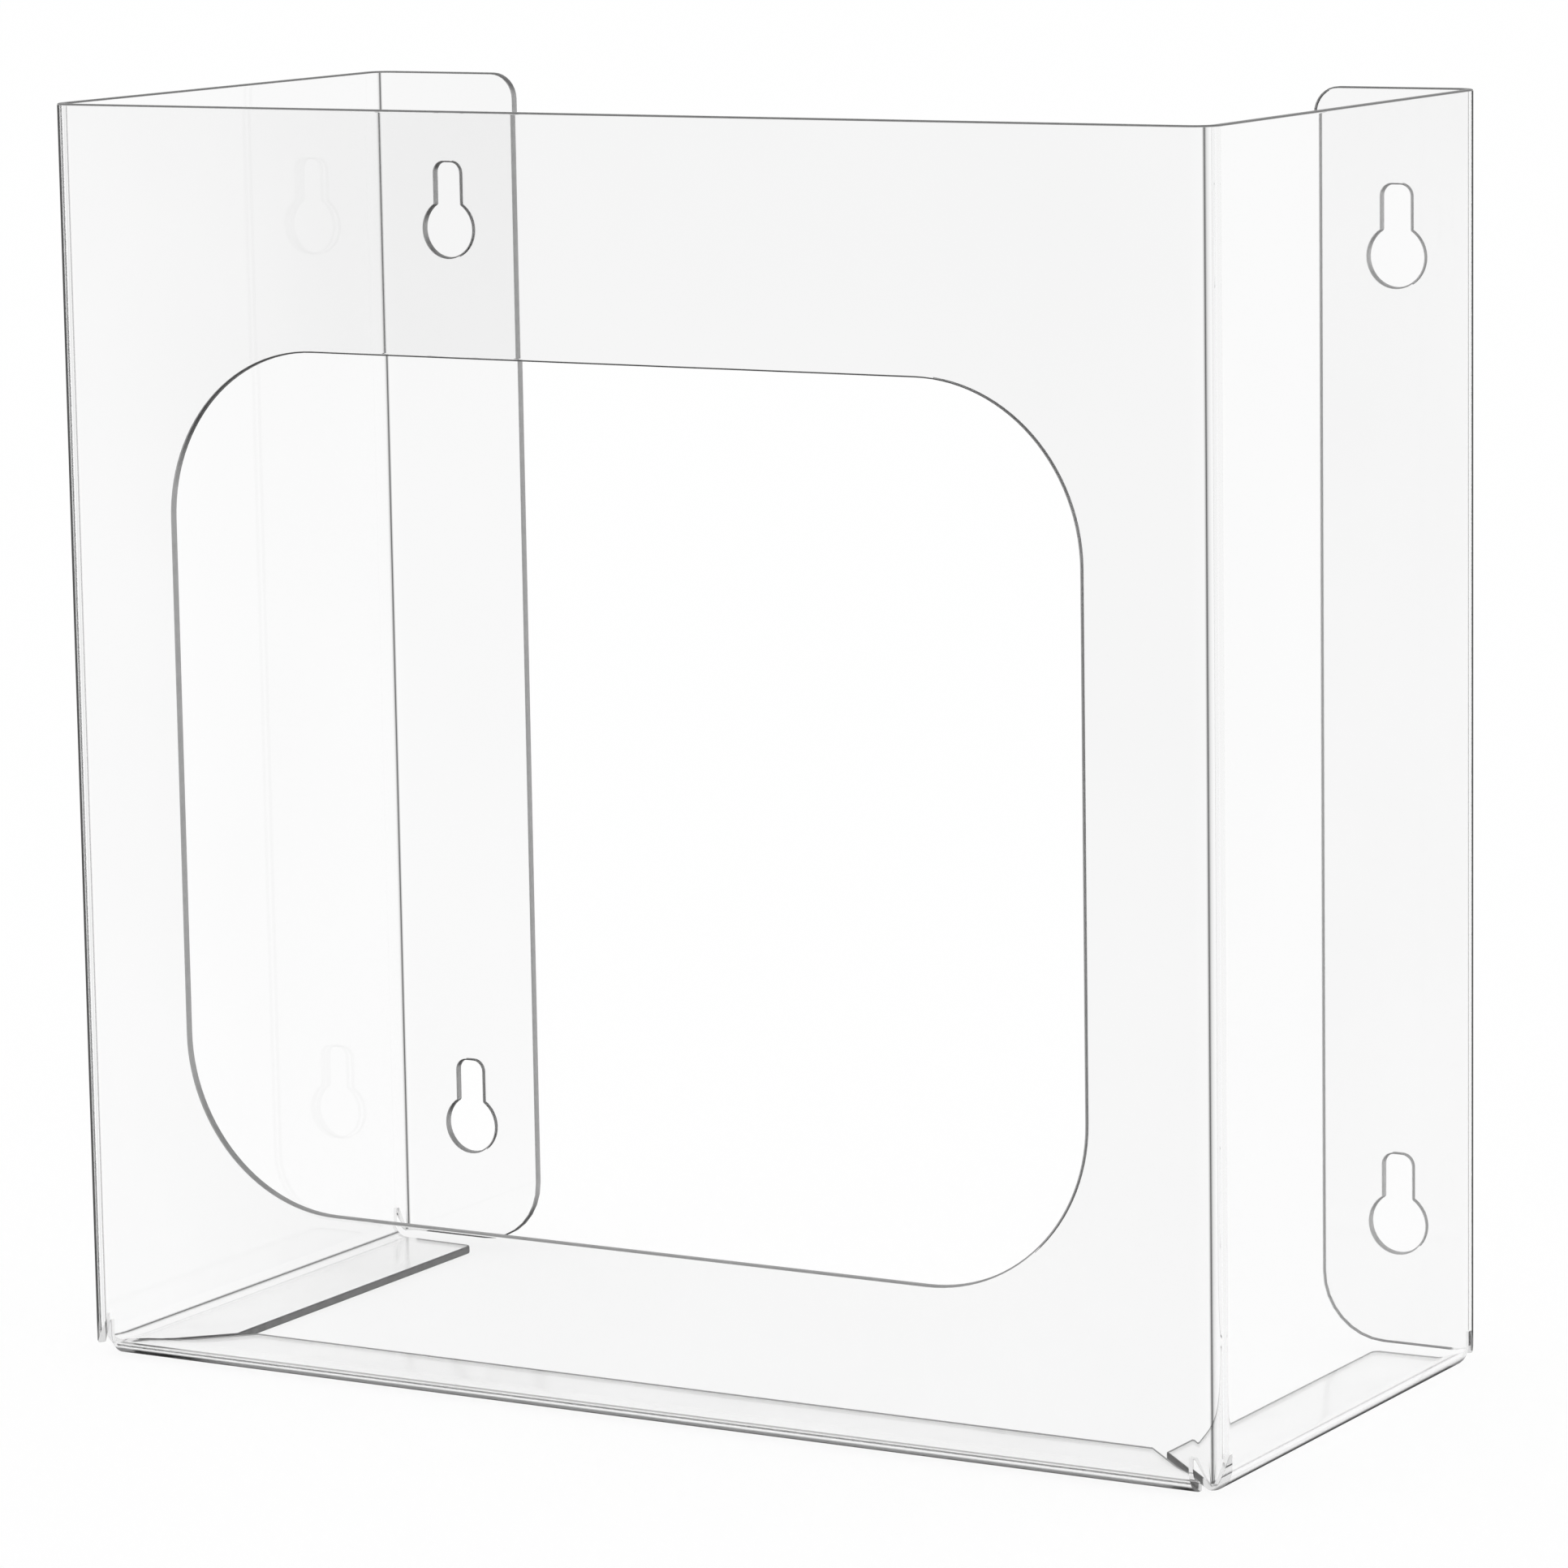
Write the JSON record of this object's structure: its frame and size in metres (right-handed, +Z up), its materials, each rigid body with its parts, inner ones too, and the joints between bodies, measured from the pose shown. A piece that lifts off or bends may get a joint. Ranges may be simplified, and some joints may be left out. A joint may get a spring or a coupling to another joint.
{
  "type": "wall dispenser for boxed protective wear",
  "caption": "Clear wall dispenser folded from plastic sheet, with a large rounded window in front, narrow lips below and flanges with keyholes for the wall.",
  "frame": {"origin": "middle of the footprint, on the plane that the undersides of the lips rest on", "axes": "+Z up, +Y towards the wall, +X to the right seen from the front; the front panel faces -Y"},
  "size_m": [0.308, 0.142, 0.305],
  "materials": {
    "clear_sheet": "clear glossy sheet with polished faces and darker cut edges"
  },
  "bodies": {
    "root": {"dispenser_sheet": "clear_sheet"}
  },
  "joints": []
}
